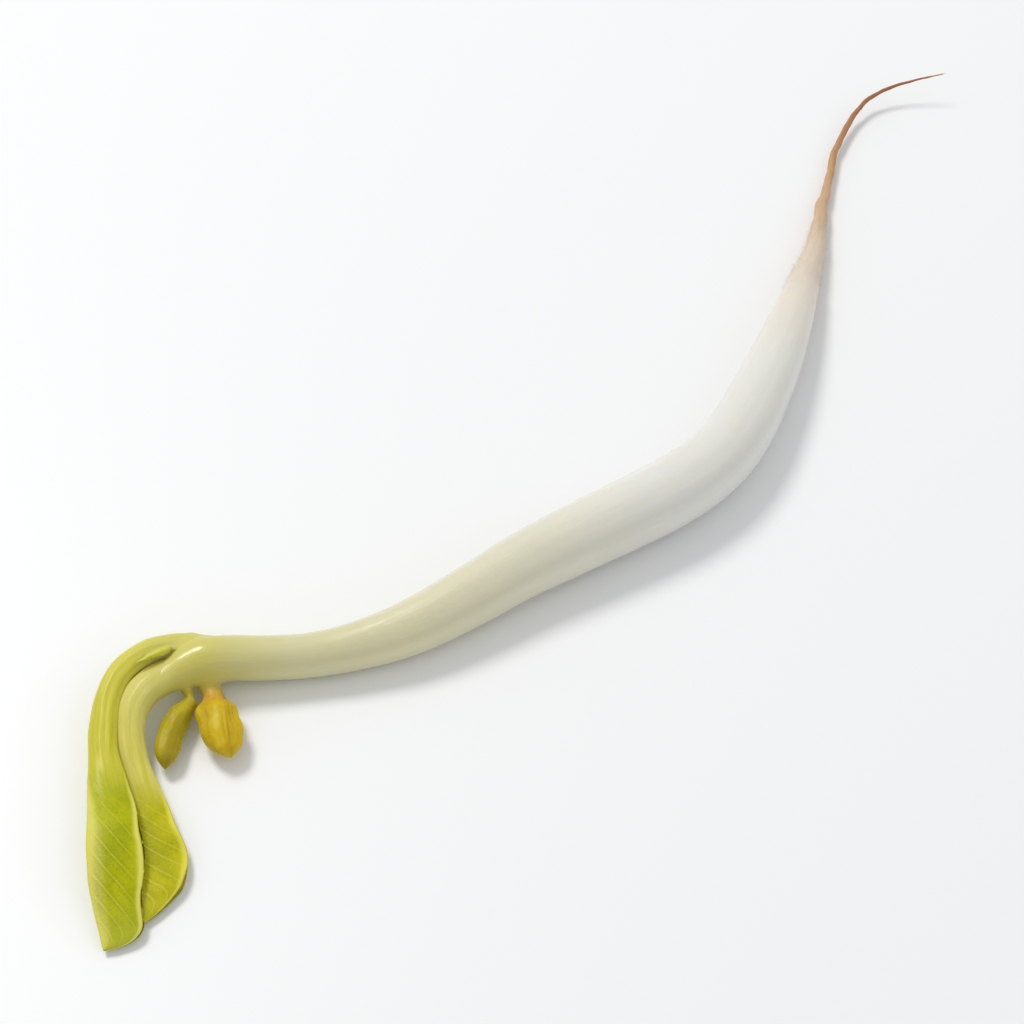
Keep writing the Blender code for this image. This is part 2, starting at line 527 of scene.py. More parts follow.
stemShape = {
    "Sides": 112, "Step": 0.12 * mm, "Wander": 0.3 * mm, "Wander size": 9.0 * mm,
    "Swell": 0.14 * mm, "Swell size": 7.0 * mm,
    "Ridge": 0.10 * mm, "Ridge width": 1.5 * mm, "Ridge length": 22.0 * mm,
    "Crease": 0.015 * mm, "Crease width": 0.5 * mm, "Crease length": 2.0 * mm, "Seed": 4.0,
    "plump": 0.12 * mm, "easedRings": 4,
    "hornSteps": (1.2 * mm, 2.4 * mm, 3.6 * mm, 4.8 * mm),
    "hornGirths": (1.24 * mm, 0.96 * mm, 0.76 * mm, 0.58 * mm),
    "hornEnd": 0.7 * mm, "rootEnd": 0.55 * mm,
}


def makeStem():
    rings = readSweep("stem", False)
    points, radii = rings[:, :3].copy(), rings[:, 9] / 2 + stemShape["plump"]
    for index in range(stemShape["easedRings"]):
        points[index] = neckPlace(-np.linalg.norm(rings[index, :3] - rings[0, :3]))
    # past the fork it narrows into the inner leaf's stalk, so that no edge shows there
    horn = np.array([neckPlace(reach) for reach in stemShape["hornSteps"]])
    points = np.vstack([points[::-1], horn])
    radii = np.concatenate([radii[::-1], stemShape["hornGirths"]])
    points, radii = roundEnd(points, radii, stemShape["hornEnd"])
    points, radii = roundEnd(points[::-1], radii[::-1], stemShape["rootEnd"])
    stem = growTube("stem_flesh", points, radii, stemShape, stemFlesh())
    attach(stem, "root")
    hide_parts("stem")
    return stem


rootShape = {
    "Sides": 40, "Step": 0.08 * mm, "Wander": 0.9 * mm, "Wander size": 4.0 * mm,
    "Swell": 0.08 * mm, "Swell size": 1.1 * mm,
    "Ridge": 0.07 * mm, "Ridge width": 0.22 * mm, "Ridge length": 3.0 * mm,
    "Crease": 0.02 * mm, "Crease width": 0.25 * mm, "Crease length": 0.8 * mm, "Seed": 9.0,
    "plump": 0.06 * mm, "taper": 0.5, "insideGirths": (0.2, 0.44), "tipEnd": 0.4 * mm,
}


def makeRoot():
    # it starts inside the stem, just under the skin, so that the two run into each other
    stem = readSweep("stem", False)
    rings = readSweep("root", False)
    inside = stem[-3:-1]
    points = np.vstack([inside[:, :3], rings[:, :3]])
    radii = np.concatenate([inside[:, 9] * rootShape["insideGirths"], rings[:, 9] / 2])
    radii = radii + rootShape["plump"]
    radii = radii * (1 - rootShape["taper"] * np.linspace(0, 1, len(radii)) ** 4)
    points, radii = roundEnd(points, radii, rootShape["tipEnd"])
    root = growTube("root_thread", points, radii, rootShape, rootSkin())
    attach(root, "root")
    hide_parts("root")
    return root


print("stem")
stem = makeStem()
print("root")
root = makeRoot()


def note(piece, name, *grids):
    # keeps three numbers for each corner of a closed form, for the materials to read
    layer = piece.data.attributes.new(name, "FLOAT_VECTOR", "POINT")
    values = closed(np.stack(np.broadcast_arrays(*grids), axis=-1))
    layer.data.foreach_set("vector", values.astype(np.float32).ravel())


def joined(pieces, name):
    with bpy.context.temp_override(
        active_object=pieces[0], object=pieces[0],
        selected_objects=pieces, selected_editable_objects=pieces,
    ):
        bpy.ops.object.join()
    pieces[0].name = name
    pieces[0].data.name = name
    return pieces[0]


leafShape = {
    "rows": 320, "outerColumns": 84, "innerColumns": 50, "slit": 0.16, "groove": 0.12,
    "footGirth": 0.7,
    "bladeStart": 0.52, "opensOver": 0.2, "ribBase": 0.34 * mm, "ribTip": 0.06 * mm,
    "thickness": 0.13 * mm, "slant": 0.42, "veins": 8,
    "veinWidth": 0.10 * mm, "veinHeight": 0.035 * mm, "pillow": 0.02 * mm, "closing": 0.45,
    "waves": 2.3, "ruffle": 0.08 * mm, "droop": 0.2 * mm, "plump": 1.06,
    "blunt": 0.3, "spread": 0.0, "shear": 0.4, "roundFrom": 0.9, "tuck": 0.0, "firstRing": 0,
    "marginFrom": 0.94, "taperFrom": 0.95,
    "lumps": 650, "lump": 0.06 * mm, "ridges": (90, 3200), "ridge": 0.05 * mm,
    "opensBefore": 0.08, "opensFast": 1.7, "backHalf": 0.7, "tipFrom": 0.8, "tipFlat": 0.7,
    "ribTaper": 2.5, "ribFoot": 0.7, "ribReach": 2.2, "veinCurve": 0.85, "waveShift": 0.37,
    "tipThin": 0.99, "marginThin": 0.96,
}


def leafRows(node, facts):
    # the stalk starts inside the knot, so the CAD sweep is carried on inwards
    rings = readSweep(node, True)
    first = facts["firstRing"]
    start = neckPlace(facts["rootedAt"])
    inside = np.repeat(rings[first : first + 1], 2, axis=0)
    for row, share in zip(inside, (0.0, 0.5)):
        row[:3] = start + (rings[first, :3] - start) * share
        row[9:] = rings[first, 9:] * (facts["footGirth"] + (1 - facts["footGirth"]) * share)
    rows = between(np.vstack([inside, rings[first:]]), facts["rows"])
    rows[:, :3] += rows[:, 3:6] * facts["lean"]
    steps = np.linspace(first - len(inside), len(rings) - 1, len(rows))
    share = steps / (len(rings) - 1)
    return rows, share[:, None]


def roundOutline(rows, v, inner, facts):
    # the stalk's section: an oval with a narrow groove on the side where the blade will open
    turn = math.pi - facts["slit"] * v if inner else v * (math.pi - facts["slit"])
    depth = 1 - facts["groove"] * (1 - v**2) if inner else 1
    return (
        np.cos(turn) * depth * rows[:, 9:10] / 2 * facts["plump"],
        np.sin(turn) * depth * rows[:, 10:11] / 2 * facts["plump"],
    )


def bladeWidth(rows, u, facts):
    # the blade's width from its fold to its margin, and how far aside the fold is
    plain = rows[:, 9:10]
    widest = u[plain.argmax(), 0]
    blunt = plain.max() * (1 - facts["blunt"] * eased(u, widest, 1.0))
    width = np.where(u < widest, plain, np.maximum(plain, blunt))
    fold = plain / 2 + (width - plain) * facts["spread"] + facts["tuck"] * eased(u, 0.5, 1.0)
    return width * np.sqrt(1 - sharePast(u, facts["roundFrom"]) ** 2), fold


def bladeVeins(u, reach, half, facts, length):
    # side veins that slant towards the tip, and the pillows that swell between them
    slant = facts["slant"] * reach ** facts["veinCurve"]
    beat = (u - slant) * facts["veins"] + 0.5 * (half > 0)
    away = np.abs(beat - np.round(beat)) / facts["veins"] * length
    vein = np.exp(-((away / facts["veinWidth"]) ** 2)) * eased(reach, 0.0, 0.12)
    pillow = (0.5 - 0.5 * np.cos(2 * math.pi * beat)) * eased(reach, 0.05, 0.4) * (1 - reach**3)
    return vein * (1 - 0.55 * reach), pillow


def bladeOutline(rows, u, v, inner, facts, length):
    # the blade's section: a sheet folded at the midrib, with veins that stand out on its outside
    reach = np.abs(v)
    half = np.where(v < 0, -1.0, 1.0)
    width, fold = bladeWidth(rows, u, facts)
    vein, pillow = bladeVeins(u, reach, half, facts, length)
    rib = facts["ribTip"] + (facts["ribBase"] - facts["ribTip"]) * (1 - u) ** facts["ribTaper"]
    opened = np.sqrt(1 - (1 - np.clip(reach * facts["opensFast"], 0, 1)) ** 2)
    opened = opened * (1 - facts["closing"] * reach**2) * np.where(half > 0, 1, facts["backHalf"])
    opened = opened * (1 - facts["tipFlat"] * eased(u, facts["tipFrom"], 1))
    taper = np.sqrt(1 - facts["tipThin"] * sharePast(u, facts["taperFrom"]) ** 2)
    wave = np.sin(2 * math.pi * (u * facts["waves"] + facts["waveShift"] * half)) * reach**2
    lift = half * opened * rows[:, 10:11] / 2 - facts["droop"] * reach**2
    lift = (lift + wave * facts["ruffle"]) * taper
    across = fold - facts["thickness"] / 2 - rib - width * reach
    across = across + wave * facts["ruffle"] * 0.5
    outAcross, outLift = np.gradient(lift, axis=1), -np.gradient(across, axis=1)
    size = np.hypot(outAcross, outLift) * (-1 if inner else 1)
    margin = sharePast(reach, facts["marginFrom"])
    thick = facts["thickness"] / 2 * np.sqrt(1 - facts["marginThin"] * margin**2)
    relief = pillow * facts["pillow"]
    if inner:
        thick = thick - relief
    else:
        away = reach * np.maximum(width, 0.01 * mm)
        nearFold = np.exp(-((away / (rib * facts["ribReach"])) ** 2))
        relief = relief + vein * (1 - margin) * facts["veinHeight"]
        thick = thick + relief + facts["ribFoot"] * rib * nearFold
    thick = thick * taper
    back = facts["shear"] * reach * width * eased(u, 0.55, 1.0)
    return across + outAcross / size * thick, lift + outLift / size * thick, back, vein


def leafOutline(rows, share, length, facts):
    # the whole section at every place: round at first, then more and more the blade's
    start = facts["bladeStart"]
    u = sharePast(share, start)
    opening = eased(share, start - facts["opensBefore"], start + facts["opensOver"])
    sides = []
    for inner, count in ((False, facts["outerColumns"]), (True, facts["innerColumns"])):
        v = np.linspace(-1, 1, count)[None, :] * (-1 if inner else 1)
        roundAcross, roundLift = roundOutline(rows, v, inner, facts)
        flatAcross, flatLift, back, vein = bladeOutline(rows, u, v, inner, facts, length)
        across = roundAcross * (1 - opening) + flatAcross * opening
        lift = roundLift * (1 - opening) + flatLift * opening
        reach = np.abs(v) + 0 * across
        sides.append((across, lift, roundAcross, roundLift, back, reach, vein * opening))
    return opening, [np.hstack(pair) for pair in zip(*sides)]


def roughenLeaf(points, rows, straight, opening, facts):
    # soft lumps all over, and ridges along the stalk
    long, wide = facts["ridges"]
    for i, j in np.ndindex(points.shape[:2]):
        place = Vector(points[i, j])
        points[i, j] += np.array(noise.noise_vector(place * facts["lumps"])) * facts["lump"]
        along, across, lift = straight[i, j]
        streak = noise.noise(Vector((along * long, across * wide, lift * wide)))
        spread = np.array(place) - rows[i, :3]
        spread /= np.linalg.norm(spread)
        points[i, j] += spread * streak * facts["ridge"] * (1 - opening[i, 0])


def leafForm(name, node, facts, skin):
    # one closed skin from the knot to the tip: a round stalk that opens into a folded blade
    rows, share = leafRows(node, facts)
    along = lengthsAlong(rows[:, :3])[:, None]
    length = along[-1, 0] * (1 - facts["bladeStart"])
    opening, outline = leafOutline(rows, share, length, facts)
    across, lift, roundAcross, roundLift, back, reach, vein = outline
    points = ringPoints(rows, across, lift)
    points -= directions(rows[:, 0:3])[:, None, :] * back[:, :, None]
    straight = np.stack(np.broadcast_arrays(along, roundAcross, roundLift), axis=-1)
    roughenLeaf(points, rows, straight, opening, facts)
    leaf = closedForm(name, points, skin)
    note(leaf, "leaf", share, reach, vein)
    note(leaf, "straight", along, roundAcross, roundLift)
    return leaf


def ringPoints(rows, across, lift):
    # the corners of each ring, from how far each is to the side of its middle and above it
    return (
        rows[:, None, 0:3]
        + rows[:, None, 3:6] * across[:, :, None]
        + rows[:, None, 6:9] * lift[:, :, None]
    )


def turns(count):
    return np.linspace(0, 2 * math.pi, count, endpoint=False)[None, :]


def closed(rings):
    # the rings' corners in one row, then the middles of the first ring and the last
    return np.vstack([rings.reshape(-1, 3), rings[0].mean(axis=0), rings[-1].mean(axis=0)])


def closedForm(name, points, skin):
    # a skin through rings of points, closed to a point at both ends
    rows, columns = points.shape[:2]
    last = (rows - 1) * columns
    pairs = [(j, (j + 1) % columns) for j in range(columns)]
    faces = [
        (low + j, low + k, low + columns + k, low + columns + j)
        for low in range(0, last, columns) for j, k in pairs
    ]
    for j, k in pairs:
        faces += [(last + columns, k, j), (last + columns + 1, last + j, last + k)]
    mesh = bpy.data.meshes.new(name)
    mesh.from_pydata(closed(points), [], faces)
    mesh.materials.append(skin)
    mesh.shade_smooth()
    pointOutwards(mesh)
    return newObject(name, mesh)


def pointOutwards(mesh):
    shape = bmesh.new()
    shape.from_mesh(mesh)
    bmesh.ops.recalc_face_normals(shape, faces=shape.faces)
    shape.to_mesh(mesh)
    shape.free()


def creaseLine(piece, host):
    # the places where a piece's skin passes through its host's
    tree = BVHTree.FromPolygons(
        [v.co for v in host.data.vertices], [p.vertices for p in host.data.polygons]
    )
    heights = []
    for corner in piece.data.vertices:
        near, facing, _, _ = tree.find_nearest(corner.co, 1 * mm)
        heights.append(None if near is None else (corner.co - near).dot(facing))
    places = []
    for edge in piece.data.edges:
        a, b = edge.vertices
        if heights[a] is None or heights[b] is None or heights[a] * heights[b] > 0:
            continue
        share = heights[a] / (heights[a] - heights[b] + 1e-12)
        places.append(piece.data.vertices[a].co.lerp(piece.data.vertices[b].co, share))
    return places


graftReach = 0.9 * mm  # how far from a crease the two pieces still look alike


def growTogether(joints):
    # swells each pair of pieces towards the crease between them, as tissue that grew as one
    swells = {}
    grafts = {}
    for first, second, reach, amount in joints:
        places = creaseLine(first, second)
        crease = KDTree(len(places))
        for index, place in enumerate(places):
            crease.insert(place, index)
        crease.balance()
        for piece in (first, second):
            swell = swells.setdefault(piece.name, [0.0] * len(piece.data.vertices))
            graft = grafts.setdefault(piece.name, [0.0] * len(piece.data.vertices))
            for index, corner in enumerate(piece.data.vertices):
                distance = crease.find(corner.co)[2]
                if distance < reach:
                    swell[index] = max(swell[index], amount * (1 - distance / reach) ** 2)
                graft[index] = max(graft[index], 1 - distance / graftReach)
    for name, swell in swells.items():
        mesh = bpy.data.objects[name].data
        normals = [corner.normal.copy() for corner in mesh.vertices]
        for corner, normal, height in zip(mesh.vertices, normals, swell):
            corner.co += normal * height
        layer = mesh.attributes.new("graft", "FLOAT", "POINT")
        layer.data.foreach_set("value", np.asarray(grafts[name], np.float32))


outerLook = {
    "base": knotColour, "stalk": (208, 200, 74), "stalkEnd": (198, 193, 34),
    "rim": (232, 226, 110), "blade": (184, 187, 5), "deep": (162, 170, 2),
    "vein": (212, 209, 64), "margin": (236, 229, 112),
}
innerLook = {
    "base": knotColour, "stalk": (218, 209, 116), "stalkEnd": (212, 202, 70),
    "rim": (232, 226, 150), "blade": (196, 190, 12), "deep": (176, 176, 8),
    "vein": (220, 214, 80), "margin": (236, 224, 84),
}


def stalkColour(m, look, share, patches, streaks, bladeStart):
    bands = m.ramp(share + (patches - 0.5) * 0.06, look, {
        0.0: "base", 0.08: "base", 0.2: "stalk", bladeStart: "stalkEnd", 1.0: "rim"})
    streaky = m.ease(streaks, 0.35, 0.75) * 0.5 * m.ease(share, 0.02, 0.2)
    return m.mix(streaky, bands, look["rim"])


def bladeColour(m, look, u, reach, vein, patches, mesh):
    # green between fine pale veins, and paler along the margin, the fold and the tip
    blade = m.mix(m.ease(patches, 0.35, 0.65), look["deep"], look["blade"])
    blade = m.mix(mesh * 0.14, blade, look["vein"])
    blade = m.mix(m.ease(vein, 0.15, 0.8) * 0.55, blade, look["vein"])
    edge = m.ease(reach + (patches - 0.5) * 0.08, 0.84, 0.96)
    tip = m.ease(u + (patches - 0.5) * 0.2, 0.75, 1.05)
    foldEnd = 0.16 + m.ease(u, 0.0, 0.5) * 0.2
    fold = 1 - m.ease(reach + (patches - 0.5) * 0.06, 0.06, foldEnd)
    pale = m.maths("MAXIMUM", m.maths("MAXIMUM", edge, tip * 0.3), fold * 0.9)
    return m.mix(pale * 0.85, blade, look["margin"]), tip


def leafSkin(name, look, bladeStart):
    material, m, shader = finish(name, {
        "IOR": 1.4, "Subsurface Weight": 0.85, "Subsurface Radius": (0.9, 1.0, 0.25),
        "Subsurface Scale": 0.12 * mm, "Coat Roughness": 0.25, "Specular IOR Level": 0.14,
    })
    straight = m.kept("straight")
    share, reach, vein = m.kept("leaf")
    place = m.place()
    x, y, z = place
    patches = m.lumps(place, 600, 600, 3.0, 0.6, 1.0)
    streaks = m.lumps(straight, 150, 4500, 3.0, 0.6, 2.0)
    inBlade = m.ease(share, bladeStart - 0.03, bladeStart + 0.12)
    graft = graftShare(m)
    net = m.node("ShaderNodeTexVoronoi", {"feature": "DISTANCE_TO_EDGE"}, {
        "Vector": m.vector(x * 4200, y * 4200, z * 4200), "Scale": 1.0}, "Distance")
    mesh = (1 - m.ease(net, 0.0, 0.16)) * inBlade
    u = (share - bladeStart) / (1 - bladeStart)
    stalk = stalkColour(m, look, share, patches, streaks, bladeStart)
    stalk = m.mix(graft, stalk, look["base"])
    blade, tip = bladeColour(m, look, u, reach, vein, patches, mesh)
    m.plug(shader, "Base Color", m.mix(inBlade, stalk, blade))
    shareGloss(m, shader, graft, {
        "Roughness": 0.32 + patches * 0.2,
        "Coat Weight": (0.1 + streaks * 0.2) * (1 - inBlade * 0.85)})

    striae = m.lumps(straight, 500, 9000, 2.0, 0.6, 4.0)
    cells = m.lumps(place, 14000, 14000, 2.0, 0.6, 4.0)
    relief = m.bump(striae * (1 - inBlade), 0.025 * mm)
    rim = m.ease(reach, 0.7, 0.9)
    end = m.maths("MAXIMUM", rim, m.ease(u, 0.85, 0.95))
    relief = m.bump(mesh * (1 - end), 0.008 * mm, under=relief)
    m.plug(shader, "Normal", m.bump(cells * (1 - end * 0.8), 0.012 * mm, under=relief))
    thin = m.maths("MAXIMUM", rim, tip) * 0.4 + 0.6
    firmUp(m, shader, m.maths("MAXIMUM", graft, inBlade * thin))
    return material


def makeLeaf(node, name, look, facts):
    facts = {**leafShape, **facts}
    skin = leafSkin(name.replace("_", " "), look, facts["bladeStart"])
    leaf = leafForm(name, node, facts, skin)
    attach(leaf, "root")
    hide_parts(node)
    return leaf


print("leaves")
outerLeaf = makeLeaf("outer_leaf", "outer_leaf_green", outerLook, {
    "lean": -0.16 * mm, "rootedAt": -2.4 * mm})
innerLeaf = makeLeaf("inner_leaf", "inner_leaf_pale", innerLook, {
    "lean": 0.14 * mm, "rootedAt": -0.5 * mm, "firstRing": skippedRings,
    "spread": 1.0, "tuck": 0.6 * mm, "blunt": 0.25, "shear": 0.25, "roundFrom": 0.85,
    "droop": 0.05 * mm})


seedShape = {
    "steps": 120, "columns": 100, "stub": 1.15 * mm, "rootedAt": 0.3 * mm, "sink": 0.6 * mm,
    "stubPlaces": (0.0, 0.35, 0.7), "stubGirths": (0.6, 0.9, 0.95),
    "sinks": (0.12, 0.5), "swells": (0.14, 0.38), "closes": (0.86, 1.0),
    "hollow": 0.5, "furrows": 4, "furrow": 0.10, "twist": 5.2,
    "lumps": 1000, "lump": 0.2 * mm, "wrinkles": 2600, "wrinkle": 0.14 * mm,
}


def seedRows(node, facts):
    # the stub starts inside the neck and comes out from under it
    rows = readSweep(node, True)
    start = neckPlace(facts["rootedAt"])
    half = len(rows) // 2
    rows[:half, 9:] = np.maximum(rows[:half, 9:], facts["stub"])
    stub = np.repeat(rows[:1], len(facts["stubPlaces"]), axis=0)
    stub[:, :3] = start + (rows[0, :3] - start) * np.array(facts["stubPlaces"])[:, None]
    stub[:, 9:] = facts["stub"] * np.array(facts["stubGirths"])[:, None]
    rows = between(np.vstack([stub, rows]), facts["steps"])
    u = np.linspace(0, 1, len(rows))[:, None]
    rows[:, 2:3] -= facts["sink"] * (1 - eased(u, *facts["sinks"]))
    return rows, u


def wrinkleSeed(points, rows, u, across, lift, amount, facts):
    size = facts["wrinkles"]
    for i, j in np.ndindex(points.shape[:2]):
        place = Vector(points[i, j])
        outward = Vector(points[i, j] - rows[i, 0:3]).normalized()
        lump = noise.noise(place * facts["lumps"]) * facts["lump"]
        fold = Vector((u[i, 0] * 3, across[i, j] * size, lift[i, j] * size))
        wrinkle = abs(noise.noise(fold + place * facts["lumps"] * 0.4)) * facts["wrinkle"]
        points[i, j] += np.array(outward) * (lump - wrinkle) * amount[i, 0]


def seedForm(name, node, facts, skin):
    # a shrunken seed half on its short stub: domed above, hollow below, furrowed lengthwise
    rows, u = seedRows(node, facts)
    turn = turns(facts["columns"])
    plump = eased(u, *facts["swells"])
    close = np.sqrt(np.clip(1 - eased(u, *facts["closes"]) ** 2, 0.0004, 1))
    furrow = 0.5 + 0.5 * np.cos(turn * facts["furrows"] + facts["twist"] * u + facts["phase"])
    girth = close * (1 - facts["furrow"] * furrow * plump)
    across = np.cos(turn) * rows[:, 9:10] / 2 * girth
    flat = 1 - plump * facts["hollow"] * (1 - 0.8 * np.cos(turn) ** 2)
    lift = np.sin(turn) * rows[:, 10:11] / 2 * girth * np.where(np.sin(turn) < 0, flat, 1)
    points = ringPoints(rows, across, lift)
    wrinkleSeed(points, rows, u, across, lift, plump * close, facts)
    seed = closedForm(name, points, skin)
    # the furrows' share, which the seed's skin uses to paint shade into the furrows
    note(seed, "seed", u, furrow * plump, 0)
    return seed


# furrow: a darker colour, painted shade where it lies in the furrows and the freckles' own colour
# where it marks them
goldenLook = {
    "stub": knotColour, "hinge": (212, 162, 56), "skin": (212, 186, 14),
    "pale": (232, 210, 80), "furrow": (190, 152, 10), "tip": (208, 180, 16),
}
oliveLook = {
    "stub": knotColour, "hinge": (192, 172, 44), "skin": (182, 166, 14),
    "pale": (206, 192, 62), "furrow": (150, 134, 10), "tip": (162, 146, 16),
}


def seedSkin(name, look):
    material, m, shader = finish(name, {
        "IOR": 1.42, "Subsurface Weight": 0.8, "Subsurface Radius": (1.0, 0.6, 0.12),
        "Subsurface Scale": 0.35 * mm, "Coat Roughness": 0.3, "Specular IOR Level": 0.25,
    })
    along, furrow, _ = m.kept("seed")
    place = m.place()
    patches = m.lumps(place, 900, 900, 3.0, 0.6, 1.0)
    freckles = m.lumps(place, 5200, 5200, 2.0, 0.7, 2.0)
    bands = m.ramp(along + (patches - 0.5) * 0.16, look, {
        0.0: "stub", 0.08: "stub", 0.24: "hinge", 0.44: "skin", 0.85: "skin", 1.0: "tip"})
    colour = m.mix(m.ease(patches, 0.45, 0.75) * 0.6, bands, look["pale"])
    # painted shade: darker along the lengthwise furrows, as if the hollows were in shadow
    colour = m.mix(furrow * 0.55, colour, look["furrow"])
    colour = m.mix(m.ease(freckles, 0.6, 0.75) * 0.35, colour, look["furrow"])
    wrinkles = m.lumps(place, 6500, 6500, 3.0, 0.65, 4.0)
    m.plugAll(shader, {
        "Base Color": colour, "Roughness": 0.4 + patches * 0.2,
        "Coat Weight": 0.1 + patches * 0.15, "Normal": m.bump(wrinkles, 0.05 * mm)})
    firmUp(m, shader, graftShare(m))
    return material


def makeSeed(node, name, look, facts):
    seed = seedForm(name, node, {**seedShape, **facts}, seedSkin(name.replace("_", " "), look))
    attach(seed, "root")
    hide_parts(node)
    return seed


print("seed halves")
goldenSeed = makeSeed("large_cotyledon", "golden_seed_half", goldenLook,
                      {"phase": 0.4, "lumps": 900})
oliveSeed = makeSeed("small_cotyledon", "olive_seed_half", oliveLook,
                     {"phase": 2.0, "furrows": 3, "lump": 0.12 * mm, "wrinkle": 0.09 * mm,
                      "stub": 0.85 * mm, "rootedAt": 1.5 * mm, "sink": 0.5 * mm})

budShape = {
    "steps": 70, "columns": 40, "groove": 0.3, "grooveWidth": 0.6, "footShare": 0.45,
    # each folded leaflet: its share of the bud's length, its girth, how far aside and how far up
    "leaflets": ((1.0, 0.25 * mm, 0.0, 0.0), (0.82, 0.2 * mm, 0.14 * mm, -0.05 * mm),
                 (0.7, 0.18 * mm, -0.13 * mm, -0.02 * mm)),
}
budLook = {"base": knotColour, "leaf": (206, 202, 52), "tip": (186, 188, 30),
           "fold": (226, 222, 120), "hair": (238, 236, 214)}


def budSkin():
    look = budLook
    material, m, shader = finish("bud skin", {"IOR": 1.4, "Specular IOR Level": 0.3})
    share, groove, _ = m.kept("leaflet")
    patches = m.lumps(m.place(), 4000, 4000, 3.0, 0.6, 1.0)
    bands = m.ramp(share + (patches - 0.5) * 0.2, look, {
        0.0: "base", 0.25: "leaf", 0.7: "leaf", 1.0: "tip"})
    m.plugAll(shader, {
        "Base Color": m.mix(groove * 0.6, bands, look["fold"]),
        "Roughness": 0.4 + patches * 0.2, "Normal": m.bump(patches, 0.02 * mm)})
    return material


def budLeaflet(rings, index, skin):
    facts = budShape
    share, girth, aside, above = facts["leaflets"][index]
    rows = between(rings, facts["steps"])[: round(facts["steps"] * share)]
    u = np.linspace(0, 1, len(rows))[:, None]
    turn = turns(facts["columns"])
    around = (turn + index) % (2 * math.pi)
    groove = np.exp(-(((around - math.pi / 2) / facts["grooveWidth"]) ** 2))
    plump = girth * (0.45 + 0.55 * eased(u, 0.0, 0.4)) * (1 - u**2) ** 0.8
    plump = plump * (1 - facts["groove"] * groove)
    across = np.cos(turn) * plump + aside * np.sin(math.pi * np.minimum(u * 0.8, 0.5))
    lift = np.sin(turn) * plump + above * np.sin(math.pi * u)
    leaflet = closedForm("leaflet", ringPoints(rows, across, lift), skin)
    note(leaflet, "leaflet", u, groove, 0)
    return leaflet


def makeBud():
    # the folded first leaflets, packed side by side in the fork
    skin = budSkin()
    rings = readSweep("terminal_bud", True)
    foot = rings[:1].copy()
    share = budShape["footShare"]
    foot[0, :3] = neckPlace(0) * (1 - share) + rings[0, :3] * share
    rings = np.vstack([foot, rings])
    leaflets = [budLeaflet(rings, index, skin) for index in range(len(budShape["leaflets"]))]
    bud = joined(leaflets, "terminal_bud_scales")
    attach(bud, "root")
    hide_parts("terminal_bud")
    return bud


print("bud")
bud = makeBud()


def hairTree():
    # fine hairs that stand on a stretch of a surface
    tree, m, given = newTree("fine hairs", {
        "Float": ["Density", "From", "To", "Length", "Girth", "Bend"],
        "Int": ["Sides", "Seed"], "Material": ["Skin"],
    })

    def chance(low, high):
        # a random number for each hair
        return m.node("FunctionNodeRandomValue", {"data_type": "FLOAT"}, {
            "Min_001": low, "Max_001": high, "Seed": given["Seed"]}, "Value_001")

    straight = m.node("GeometryNodeInputNamedAttribute", {"data_type": "FLOAT_VECTOR"}, {
        "Name": "straight"})
    along = m.parts(straight)[0]
    after = m.maths("GREATER_THAN", along, given["From"])
    before = m.maths("LESS_THAN", along, given["To"])
    scattered = m.node("GeometryNodeDistributePointsOnFaces", {"distribute_method": "RANDOM"}, {
        "Mesh": given["Geometry"], "Selection": after * before, "Density": given["Density"],
        "Seed": given["Seed"]})
    facing = Wire(m, scattered.socket.node.outputs["Rotation"])
    spin = m.node("FunctionNodeAxisAngleToRotation", None, {
        "Axis": (0, 0, 1), "Angle": chance(0.0, 2 * math.pi)})
    facing = m.node("FunctionNodeRotateRotation", {"rotation_space": "LOCAL"}, {
        "Rotation": facing, "Rotate By": spin})
    size = chance(0.45, 1.0)
    spine = m.node("GeometryNodeCurveQuadraticBezier", None, {
        "Resolution": 8, "Start": (0.0, 0.0, -0.1), "Middle": (0.0, 0.0, 0.6),
        "End": m.vector(given["Bend"], 0.0, 1.0)})
    thin = given["Girth"] / given["Length"] * (1.05 - m.node("GeometryNodeSplineParameter"))
    circle = m.node("GeometryNodeCurvePrimitiveCircle", None, {"Resolution": given["Sides"]})
    hair = m.node("GeometryNodeCurveToMesh", None, {
        "Curve": spine, "Profile Curve": circle, "Scale": thin, "Fill Caps": True})
    hairs = m.node("GeometryNodeInstanceOnPoints", None, {
        "Points": scattered, "Instance": hair, "Rotation": facing, "Scale": size * given["Length"]})
    endTree(m, hairs, given["Skin"])
    return tree


def hairSkin(name, root, tip):
    material, m, shader = finish(name, {"IOR": 1.4, "Specular IOR Level": 0.4})
    patches = m.lumps(m.place(), 1500, 1500, 3.0, 0.6, 1.0)
    m.plugAll(shader, {
        "Base Color": m.mix(m.ease(patches, 0.3, 0.7), root, tip),
        "Roughness": 0.35 + patches * 0.3, "Normal": m.bump(patches, 0.01 * mm)})
    return material


rootHairs = {"Density": 2.6e7, "From": 1.2 * mm, "To": 9.0 * mm, "Length": 0.32 * mm,
             "Girth": 0.007 * mm, "Bend": 0.4, "Sides": 4, "Seed": 3}
budHairs = {"Density": 1.3e8, "From": -1.0, "To": 1.0, "Length": 0.13 * mm,
            "Girth": 0.004 * mm, "Bend": 0.6, "Sides": 4, "Seed": 8}


def makeHairs(name, host, facts, skin):
    holder = newObject(name + "_host", host.data.copy())
    hairs = runTree(holder, name, hairsTree, {**facts, "Skin": skin})
    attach(hairs, "root")
    return hairs


print("hairs")
hairsTree = hairTree()
hairs = [
    makeHairs("root_hairs", root, rootHairs,
              hairSkin("root hair", rootLook["start"], rootLook["cone"])),
    makeHairs("bud_hairs", bud, budHairs,
              hairSkin("bud hair", budLook["hair"], budLook["fold"])),
]

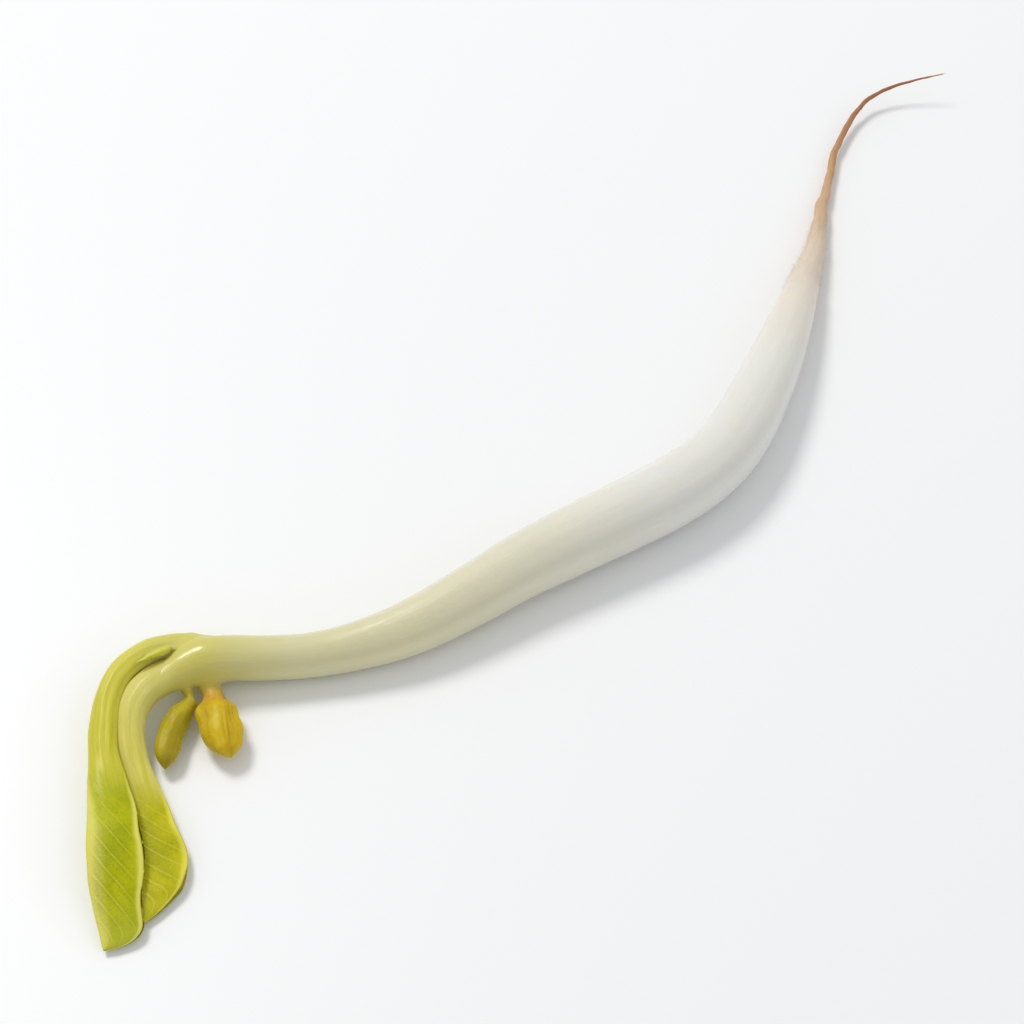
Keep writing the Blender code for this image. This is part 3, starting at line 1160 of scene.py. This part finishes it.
growTogether([
    (outerLeaf, stem, 0.6 * mm, 0.12 * mm), (innerLeaf, stem, 0.5 * mm, 0.03 * mm),
    (goldenSeed, stem, 0.7 * mm, 0.12 * mm), (oliveSeed, stem, 0.6 * mm, 0.1 * mm),
    (root, stem, 0.6 * mm, 0.04 * mm),
])


restHeight = 0.15 * mm


def layDown(piece):
    # flattens what would reach below the table, and keeps a skin's two sides apart
    for corner in piece.data.vertices:
        if corner.co.z < restHeight:
            corner.co.z = restHeight * math.exp(corner.co.z / restHeight - 1)


for piece in (stem, root, innerLeaf, outerLeaf, goldenSeed, oliveSeed, *hairs):
    layDown(piece)


def makeFloor():
    skin = finish("white table", {
        "Base Color": (0.93, 0.935, 0.94, 1), "Roughness": 0.4, "Specular IOR Level": 0.35})[0]
    mesh = bpy.data.meshes.new("floor")
    reach = 2.0
    corners = [(-reach, -reach, 0), (reach, -reach, 0), (reach, reach, 0), (-reach, reach, 0)]
    mesh.from_pydata(corners, [], [(0, 1, 2, 3)])
    mesh.materials.append(skin)
    newObject("floor", mesh)


viewFacts = {"azimuth": -47, "elevation": 50, "lens": 85, "fill": 0.86}


def viewAxes():
    # from the plant to the camera, then to the right and up in the picture
    turn, tilt = math.radians(viewFacts["azimuth"]), math.radians(viewFacts["elevation"])
    level = math.cos(tilt)
    back = Vector((math.sin(turn) * level, -math.cos(turn) * level, math.sin(tilt)))
    right = Vector((math.cos(turn), math.sin(turn), 0))
    return back, right, back.cross(right)


def makeCamera():
    # set so that the whole plant fills its share of the picture
    back, right, upward = (np.array(axis) for axis in viewAxes())
    corners = np.array([v.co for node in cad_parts.values() for v in node.data.vertices])
    data = bpy.data.cameras.new("camera")
    data.lens = viewFacts["lens"]
    data.clip_start = 0.01
    place = back * 0.3
    for _ in range(8):
        depth = (place - corners) @ back
        across = (corners - place) @ right / depth
        up = (corners - place) @ upward / depth
        reach = depth.mean()
        place = place + right * (across.max() + across.min()) / 2 * reach
        place = place + upward * (up.max() + up.min()) / 2 * reach
        share = max(np.ptp(across), np.ptp(up)) / 2 / math.tan(data.angle / 2)
        place = place + back * reach * (share / viewFacts["fill"] - 1)
    camera = newObject("camera", data)
    camera.location = place
    camera.rotation_euler = Vector(back).to_track_quat("Z", "Y").to_euler()
    bpy.context.scene.camera = camera


def makeLight(name, direction, distance, size, power, colour):
    data = bpy.data.lights.new(name, "AREA")
    data.shape = "DISK"
    data.size = size
    data.energy = power
    data.color = colour
    lamp = newObject(name, data)
    lamp.location = direction.normalized() * distance
    lamp.rotation_euler = direction.to_track_quat("Z", "Y").to_euler()
    lamp.visible_camera = False


def makeLights():
    back, right, _ = viewAxes()
    away = Vector((-back.x, -back.y, 0)).normalized()
    keyDirection = Vector((0, 0, 1)) - right * 0.5 + away * 0.55
    fillDirection = Vector((0, 0, 0.7)) + right * 0.8 - away * 0.3
    makeLight("key", keyDirection, 0.5, 0.16, 1.15, (1, 0.985, 0.96))
    makeLight("fill", fillDirection, 0.6, 0.5, 0.25, (0.95, 0.97, 1))
    world = bpy.data.worlds.new("white room")
    bpy.context.scene.world = world
    world.use_nodes = True
    shade = world.node_tree.nodes["Background"]
    shade.inputs["Color"].default_value = (0.97, 0.985, 1, 1)
    shade.inputs["Strength"].default_value = 0.6


print("stage")
makeFloor()
makeCamera()
makeLights()
bpy.context.scene.view_settings.view_transform = "Standard"
